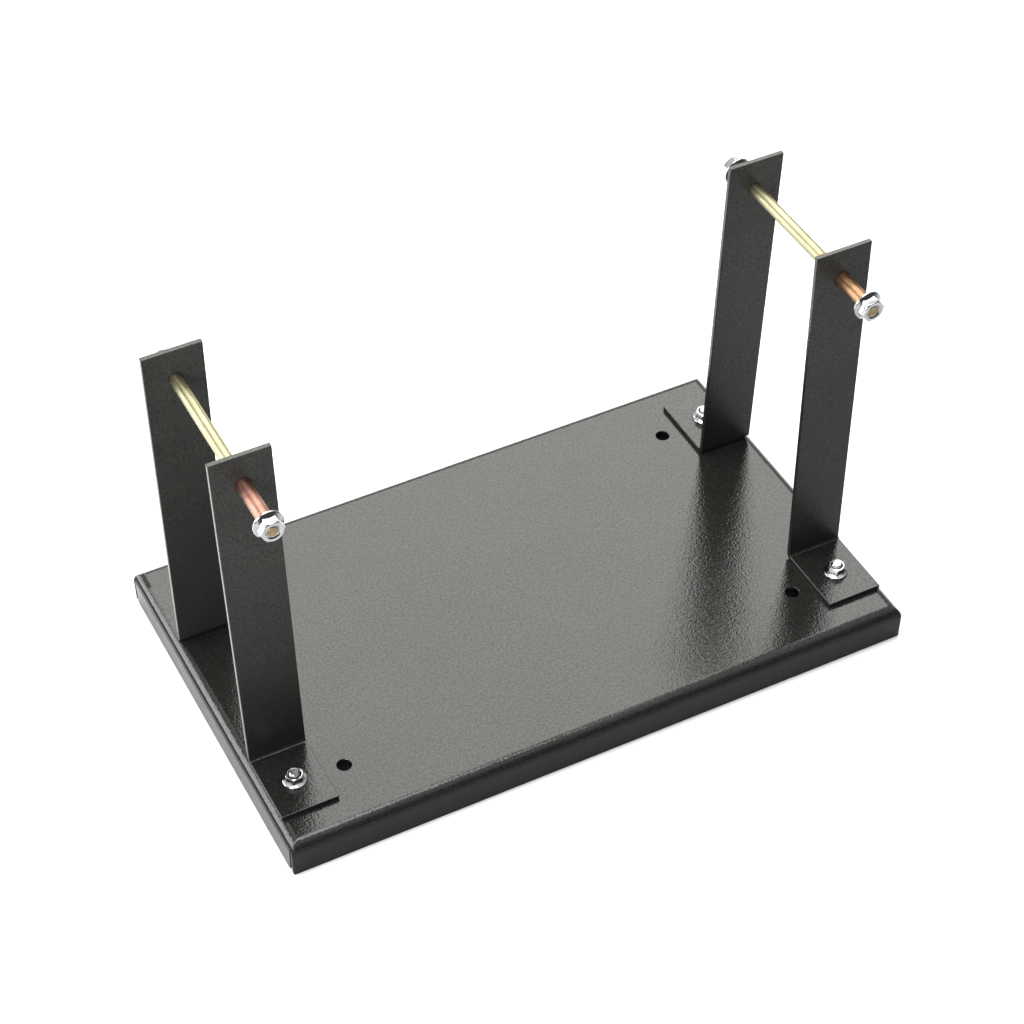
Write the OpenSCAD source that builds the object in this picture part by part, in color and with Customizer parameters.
// Stand for two spools: a folded sheet-metal base, four bent strip uprights
// bolted to it, and two removable axles, each with a sleeve and two flange nuts.
// Origin: centre of the base footprint, on the surface it stands on.
// +X runs along the long side, to the right; +Z is up; the front pair of uprights is at -Y.

/* [Base] */
// Length of the base
base_len = 330; // [325:5:380]
// Width of the base
base_wid = 200; // [190:5:240]
// Height of the base over its folded edges
base_h = 19; // [17:1:26]
// Thickness of the base sheet
sheet_t = 1.5; // [1:0.25:1.75]
// Outside radius of the folded edges
edge_r = 6; // [5:0.5:7]
// Gap between neighbouring skirts at the fold
corner_gap_top = 0.4; // [0.2:0.1:1]
// Gap between neighbouring skirts at the bottom edge
corner_gap_bottom = 2.6; // [1:0.1:4]
// Rounding of the skirts' free bottom corners
skirt_corner_r = 1.5; // [1:0.5:3]
// How far round the folded edges the groove runs, in degrees up from the skirts
groove_angle = 32; // [25:1:35]
// Depth of the groove
groove_depth = 0.7; // [0.5:0.05:0.8]
// Width of the groove
groove_w = 1; // [0.6:0.1:1.4]

/* [Mounting holes] */
// Diameter of the four free holes in the base
hole_d = 7; // [6:0.5:8]
// Spacing of the free holes along the base
hole_span_x = 245; // [230:5:250]
// Spacing of the free holes and of the foot bolts across the base
hole_span_y = 130; // [126:1:134]

/* [Uprights] */
// Width of the upright strip
strip_w = 29; // [24:1:30]
// Thickness of the upright strip
strip_t = 2.5; // [2:0.25:3]
// Height of the uprights above the base
upright_h = 184.5; // [150:0.5:230]
// Distance from the end of the base to the middle of an upright
upright_inset = 17.5; // [17.5:0.5:20]
// Distance between the outer faces of a pair of uprights at their tops
pair_span = 78; // [76:1:80]
// How far each upright leans in towards its partner, in degrees
lean = 1.8; // [0:0.1:2]
// Inside radius of the bend between foot and upright
bend_r = 1.5; // [1:0.25:2.5]
// Distance from the middle of the base to the end of a foot
foot_reach = 82.8; // [80:0.2:86]

/* [Axles] */
// Diameter of the axle rods
rod_d = 6; // [5.8:0.1:6]
// Drop from the top of the uprights to the axle
axle_drop = 16; // [12:0.5:30]
// Distance between the flanges of the two nuts on an axle
nut_span = 111.5; // [105:0.5:125]
// Shift of the left axle along its own length
left_shift = -9.5; // [-11.5:0.5:0]
// Shift of the right axle along its own length
right_shift = -4; // [-11.5:0.5:0]
// Outside diameter of the spacer sleeves
sleeve_d = 7; // [6.9:0.1:8]
// Length of the sleeves
sleeve_len = 37; // [35:1:38]
// Radial clearance of rods in their holes and sleeves, and of the sleeves
run_clear = 0.05; // [0.03:0.01:0.08]

/* [Axle nuts] */
// Flange diameter of the axle nuts
axle_flange_d = 14.2; // [13:0.1:14.2]
// Width across the flats of the axle nuts
axle_flats = 10; // [9.5:0.1:10]
// Height of the axle nuts
axle_nut_h = 6; // [5:0.5:7]

/* [Foot fasteners] */
// Thread diameter of the foot bolts
bolt_d = 5; // [4:1:5]
// Flange diameter of the foot nuts
foot_flange_d = 11.8; // [11:0.1:12.5]
// Width across the flats of the foot nuts and bolt heads
foot_flats = 8; // [7:0.1:8.5]
// Height of the foot nuts
foot_nut_h = 5; // [4:0.5:6]
// Height of the foot bolts' heads
head_h = 3.5; // [3:0.5:4]
// Length of the foot bolts under the head
bolt_len = 10; // [10:1:14]
// Diameter of the foot bolts' clearance holes
bolt_hole_d = 5.5; // [5.3:0.1:6]

/* [Hidden] */
$fn = 64;

over = 1;                                // how far a cutter runs past what it cuts
end_chamfer = 0.6;                       // at the ends of rods and bolts

fold_z = base_h - edge_r;                // where the skirts run into the folded edges
inner_edge_r = edge_r - sheet_t;
upright_x = base_len / 2 - upright_inset;
bolt_y = hole_span_y / 2;                // row of foot bolts and free holes
top_z = base_h + upright_h;
axle_z = top_z - axle_drop;
rod_r = rod_d / 2;
rod_hole_r = rod_r + run_clear;
sleeve_hole_r = sleeve_d / 2 + run_clear;

// ---------- base ----------

slot_lap = 0.05;      // how far the corner slot reaches inside the fold's inner face
slot_lead = 0.6;      // how far inside the end fold the corner slot starts
rounding_lap = 0.3;   // how far a corner rounding cuts past the inside of a skirt
rounding_shift = 0.02;
groove_bar_h = 3;

// Section of the tray in one direction, shrunk by inset all round and run on below z = 0
module tray_section(width, inset, down) {
  half = width / 2 - inset;
  top = base_h - inset;
  r = edge_r - inset;
  union() {
    translate([-half, -down]) square([2 * half, top - r + down]);
    translate([-half + r, -down]) square([2 * half - 2 * r, top + down]);
    for (side = [-1, 1]) translate([side * (half - r), top - r]) circle(r = r);
  }
}

// Block with its long top edges rounded both ways
module tray_block(inset, down) {
  intersection() {
    rotate([90, 0, 90]) translate([0, 0, -base_len / 2 - over])
      linear_extrude(base_len + 2 * over) tray_section(base_wid, inset, down);
    rotate([90, 0, 0]) translate([0, 0, -base_wid / 2 - over])
      linear_extrude(base_wid + 2 * over) tray_section(base_len, inset, down);
  }
}

// Distance from the middle to the inner face of a fold, rise above fold_z,
// for a base of the given size in that direction
function fold_inside(size, rise) = size / 2 - edge_r + sqrt(pow(inner_edge_r, 2) - rise * rise);

// Slot that parts an end skirt from the side skirt next to it, at the corner (+X, +Y),
// and runs up to the groove
module corner_slot() {
  skirt_y = base_wid / 2 - sheet_t;
  rise = (edge_r - groove_depth) * sin(groove_angle);
  mid_y = fold_inside(base_wid, rise / 2) - slot_lap;
  top_y = fold_inside(base_wid, rise) - slot_lap;
  start_x = fold_inside(base_len, rise) - slot_lead;
  translate([start_x, 0, 0]) rotate([90, 0, 90])
    linear_extrude(base_len / 2 + over - start_x)
      // y, z
      polygon([
        [skirt_y, -over],
        [skirt_y, fold_z],
        [mid_y, fold_z + rise / 2],
        [top_y, fold_z + rise],
        [top_y - corner_gap_top, fold_z + rise],
        [skirt_y - corner_gap_bottom, 0],
        [skirt_y - corner_gap_bottom, -over]
      ]);
}

// Material outside a rounded corner, in the plane of a skirt
module corner_outside(r) {
  difference() {
    translate([-rounding_shift, -over]) square([r + over, r + over]);
    translate([-rounding_shift, r]) circle(r = r);
  }
}

// Cutters that round the free corners of the two skirts at the corner (+X, +Y)
module skirt_roundings() {
  // side skirt
  translate([base_len / 2 - skirt_corner_r, base_wid / 2 + over, 0]) rotate([90, 0, 0])
    linear_extrude(sheet_t + rounding_lap + over) corner_outside(skirt_corner_r);
  // end skirt
  translate([
    base_len / 2 - sheet_t - rounding_lap,
    base_wid / 2 - sheet_t - corner_gap_bottom - skirt_corner_r,
    0
  ])
    rotate([90, 0, 90]) linear_extrude(sheet_t + over) corner_outside(skirt_corner_r);
}

// Bar that cuts the groove in the +Y folded edge of a base of the given width
module groove_bar(width, len) {
  translate([0, width / 2 - edge_r, fold_z]) rotate([groove_angle, 0, 0])
    translate([-len / 2, edge_r - groove_depth, -groove_w / 2])
      cube([len, groove_bar_h, groove_w]);
}

// Drill through the top sheet of the base
module base_hole(x, y, d) {
  translate([x, y, base_h - sheet_t - over]) cylinder(d = d, h = sheet_t + 2 * over);
}

module base_pan() {
  color([0.24, 0.24, 0.25])
  difference() {
    tray_block(inset = 0, down = 0);
    tray_block(inset = sheet_t, down = 2 * over);
    for (a = [0, 1], b = [0, 1]) mirror([a, 0, 0]) mirror([0, b, 0]) {
      corner_slot();
      skirt_roundings();
    }
    for (turn = [0, 180]) rotate([0, 0, turn]) {
      groove_bar(base_wid, base_len + 2 * over);
      rotate([0, 0, 90]) groove_bar(base_len, base_wid + 2 * over);
    }
    for (side_x = [-1, 1], side_y = [-1, 1]) {
      base_hole(side_x * hole_span_x / 2, side_y * bolt_y, hole_d);
      base_hole(side_x * upright_x, side_y * bolt_y, bolt_hole_d);
    }
  }
}

// ---------- uprights ----------

face_top = pair_span / 2;                // y of the outer face of an upright at its top
// centre of the bend between foot and upright
bend_z = base_h + strip_t + bend_r;
bend_y = face_top + (bend_r + (top_z - bend_z) * sin(lean)) / cos(lean);

leg_lap = 0.05;       // how far leg and foot run into the bend, to join as one solid
bend_shrink = 0.01;   // how much smaller both radii of the bend are drawn
bend_clip = 20;       // half size of the squares that cut the bend from a full ring
hole_past_face = 20;  // how far the axle hole's cutter runs past the upright's top

// easing of the axle hole: a 45 degree cone
ease = 0.3;
ease_lap = 0.05;
ease_cone_h = 1.6;

// y of the outer face of an upright at height z
function face_at(z) = face_top + (top_z - z) * tan(lean);

// Side profile of an upright: x is the distance from the middle, y the height
module upright_profile() {
  leg_len = (top_z - bend_z + bend_r * sin(lean)) / cos(lean);
  outer_r = bend_r + strip_t;
  translate([bend_y, bend_z]) union() {
    // leg
    rotate(lean) translate([-outer_r, -leg_lap]) square([strip_t, leg_len + leg_lap]);
    // bend
    intersection() {
      difference() {
        circle(r = outer_r - bend_shrink);
        circle(r = bend_r - bend_shrink);
      }
      rotate(lean) translate([-bend_clip, -bend_clip]) square([2 * bend_clip, bend_clip]);
      translate([-bend_clip, -bend_clip]) square([bend_clip, 2 * bend_clip]);
    }
    // foot
    translate([-leg_lap, -outer_r]) square([foot_reach - bend_y + leg_lap, strip_t]);
  }
}

// Upright that stands at +X, +Y, with an axle hole of radius hole_r
module upright(hole_r) {
  difference() {
    translate([upright_x - strip_w / 2, 0, 0]) rotate([90, 0, 90])
      linear_extrude(strip_w) upright_profile();
    translate([upright_x, bolt_y, base_h - over])
      cylinder(d = bolt_hole_d, h = strip_t + 2 * over);
    // axle hole, eased at its outer edge
    translate([upright_x, 0, axle_z]) rotate([-90, 0, 0])
      cylinder(r = hole_r, h = face_top + hole_past_face);
    translate([upright_x, face_at(axle_z) - ease - ease_lap, axle_z]) rotate([-90, 0, 0])
      cylinder(r1 = hole_r - ease_lap, r2 = hole_r - ease_lap + ease_cone_h, h = ease_cone_h);
  }
}

// Upright moved to its corner: 1 mirrors it to the left or to the front
module place_upright(left, front, hole_r) {
  color([0.22, 0.22, 0.23])
    mirror([left, 0, 0]) mirror([0, front, 0]) upright(hole_r);
}

// the sleeves pass through the front uprights; only the rods pass through the back ones
module upright_front_left() { place_upright(1, 1, sleeve_hole_r); }
module upright_front_right() { place_upright(0, 1, sleeve_hole_r); }
module upright_back_left() { place_upright(1, 0, rod_hole_r); }
module upright_back_right() { place_upright(0, 0, rod_hole_r); }

// ---------- fasteners ----------

thread_gap = 0.02;    // plain stand-in for a mated thread or push fit

// heights up the nut, as parts of its full height
flange_rim = 0.9 / 6;
flange_bevel = 0.3 / 6;
flange_cone = 1.3 / 6;

flange_bevel_d = 0.8; // what the bevel takes off the flange diameter
nut_top_margin = 0.15; // radius of the hexagon's chamfer beyond the flats, at the open face
mouth_depth = 0.5;    // 45 degree countersink of the thread, at the open face
mouth_cone_h = 0.7;

module hexagon(flats, h) {
  cylinder(r = flats / 2 / cos(30), h = h, $fn = 6);
}

// Flange nut for a thread of diameter d, seat at z = 0, open face at z = h
module flange_nut(d, flange_d, flats, h) {
  bevel_d = flange_d - flange_bevel_d;
  color([0.86, 0.87, 0.89])
  difference() {
    union() {
      cylinder(d = flange_d, h = flange_rim * h);
      translate([0, 0, flange_rim * h])
        cylinder(d1 = flange_d, d2 = bevel_d, h = flange_bevel * h);
      translate([0, 0, (flange_rim + flange_bevel) * h])
        cylinder(d1 = bevel_d, d2 = flats, h = flange_cone * h);
      intersection() {
        hexagon(flats, h);
        cylinder(r1 = flats / 2 + h, r2 = flats / 2 + nut_top_margin, h = h);
      }
    }
    translate([0, 0, -over]) cylinder(r = d / 2 + thread_gap, h = h + 2 * over);
    translate([0, 0, h - mouth_depth])
      cylinder(r1 = d / 2, r2 = d / 2 + mouth_cone_h, h = mouth_cone_h);
  }
}

// Hex head bolt, head seat at z = 0, shank up
module hex_bolt() {
  r = bolt_d / 2;
  color([0.82, 0.83, 0.85])
  union() {
    translate([0, 0, -head_h]) intersection() {
      hexagon(foot_flats, head_h);
      cylinder(r1 = foot_flats / 2, r2 = foot_flats / 2 + head_h, h = head_h);
    }
    cylinder(r = r, h = bolt_len - end_chamfer);
    translate([0, 0, bolt_len - end_chamfer])
      cylinder(r1 = r, r2 = r - end_chamfer, h = end_chamfer);
  }
}

// Places on the foot at side_x, side_y (-1 or 1): bolt head under the sheet, nut on the foot
module foot_bolt(side_x, side_y) {
  translate([side_x * upright_x, side_y * bolt_y, base_h - sheet_t])
    rotate([0, 0, 8 * side_x]) hex_bolt();
}

module foot_nut(side_x, side_y, turn) {
  translate([side_x * upright_x, side_y * bolt_y, base_h + strip_t])
    rotate([0, 0, turn]) flange_nut(bolt_d, foot_flange_d, foot_flats, foot_nut_h);
}

module foot_bolt_front_left() { foot_bolt(-1, -1); }
module foot_bolt_front_right() { foot_bolt(1, -1); }
module foot_bolt_back_left() { foot_bolt(-1, 1); }
module foot_bolt_back_right() { foot_bolt(1, 1); }
module foot_nut_front_left() { foot_nut(-1, -1, turn = 3); }
module foot_nut_front_right() { foot_nut(1, -1, turn = 5); }
module foot_nut_back_left() { foot_nut(-1, 1, turn = 20); }
module foot_nut_back_right() { foot_nut(1, 1, turn = -12); }

// ---------- axles ----------

rod_recess = 0.3;     // how far a rod's end lies inside the open face of its nut

// Axle rod along Y, its middle at y = shift
module axle_rod(x, shift) {
  len = nut_span + 2 * (axle_nut_h - rod_recess);
  tip_r = rod_r - end_chamfer;
  color([0.86, 0.80, 0.50])
  translate([x, shift - len / 2, axle_z]) rotate([-90, 0, 0]) {
    cylinder(r1 = tip_r, r2 = rod_r, h = end_chamfer);
    translate([0, 0, end_chamfer]) cylinder(r = rod_r, h = len - 2 * end_chamfer);
    translate([0, 0, len - end_chamfer]) cylinder(r1 = rod_r, r2 = tip_r, h = end_chamfer);
  }
}

// Sleeve that reaches inwards from the front nut, through the front upright
module axle_sleeve(x, shift) {
  color([0.80, 0.52, 0.40])
  translate([x, shift - nut_span / 2, axle_z]) rotate([-90, 0, 0])
    difference() {
      cylinder(d = sleeve_d, h = sleeve_len);
      translate([0, 0, -over]) cylinder(r = rod_hole_r, h = sleeve_len + 2 * over);
    }
}

// Nut on an axle, at the front (side_y = -1) or back (1), its open face outwards
module axle_nut(x, shift, side_y, turn) {
  translate([x, side_y * nut_span / 2 + shift, axle_z]) rotate([-90 * side_y, 0, 0])
    rotate([0, 0, turn]) flange_nut(rod_d, axle_flange_d, axle_flats, axle_nut_h);
}

module axle_rod_left() { axle_rod(-upright_x, left_shift); }
module axle_rod_right() { axle_rod(upright_x, right_shift); }
module axle_sleeve_left() { axle_sleeve(-upright_x, left_shift); }
module axle_sleeve_right() { axle_sleeve(upright_x, right_shift); }
module axle_nut_front_left() { axle_nut(-upright_x, left_shift, -1, turn = 0); }
module axle_nut_front_right() { axle_nut(upright_x, right_shift, -1, turn = 10); }
module axle_nut_back_left() { axle_nut(-upright_x, left_shift, 1, turn = 15); }
module axle_nut_back_right() { axle_nut(upright_x, right_shift, 1, turn = 25); }

base_pan();
upright_front_left();
upright_front_right();
upright_back_left();
upright_back_right();
foot_bolt_front_left();
foot_bolt_front_right();
foot_bolt_back_left();
foot_bolt_back_right();
foot_nut_front_left();
foot_nut_front_right();
foot_nut_back_left();
foot_nut_back_right();
axle_rod_left();
axle_rod_right();
axle_sleeve_left();
axle_sleeve_right();
axle_nut_front_left();
axle_nut_front_right();
axle_nut_back_left();
axle_nut_back_right();
